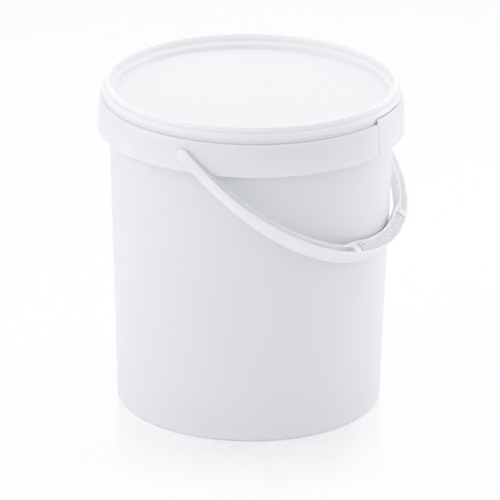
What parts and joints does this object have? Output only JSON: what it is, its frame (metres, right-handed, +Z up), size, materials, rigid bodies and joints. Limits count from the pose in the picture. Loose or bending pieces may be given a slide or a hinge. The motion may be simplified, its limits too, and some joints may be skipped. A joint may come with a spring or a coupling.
{
  "type": "plastic pail with lid",
  "caption": "Round tapered white plastic pail with a press-on lid, a deep collar, a swinging plastic handle with a ribbed grip and a break-off tab.",
  "frame": {"origin": "centre of the base, on the surface that the pail stands on", "axes": "+Z up the pail; the handle pivots lie on Y; the handle hangs towards +X, where the break-off tab is"},
  "size_m": [0.3279, 0.3344, 0.3551],
  "materials": {
    "white_pp_body": "semi-gloss moulded polypropylene",
    "white_pp_lid": "semi-gloss moulded polypropylene",
    "white_pp_handle": "semi-gloss moulded polypropylene",
    "seal_rubber": "foamed elastomer"
  },
  "bodies": {
    "pail": {"pail_body": "white_pp_body", "collar": "white_pp_body"},
    "lid": {"lid": "white_pp_lid", "lid_seal": "seal_rubber"},
    "handle": {"handle": "white_pp_handle"},
    "tab": {"tear_tab": "white_pp_body"}
  },
  "joints": [
    {"name": "handle_swing", "type": "hinge", "parent": "pail", "child": "handle", "pos_m": [0, 0, 0.323], "axis": [0, -1, 0], "range_deg": [0, 254]},
    {"name": "lid_lift", "type": "slide", "parent": "pail", "child": "lid", "axis": [0, 0, 1], "range_m": [0, 0.06]},
    {"name": "tab_tear_off", "type": "slide", "parent": "pail", "child": "tab", "axis": [1, 0, 0], "range_m": [0, 0.03]}
  ]
}
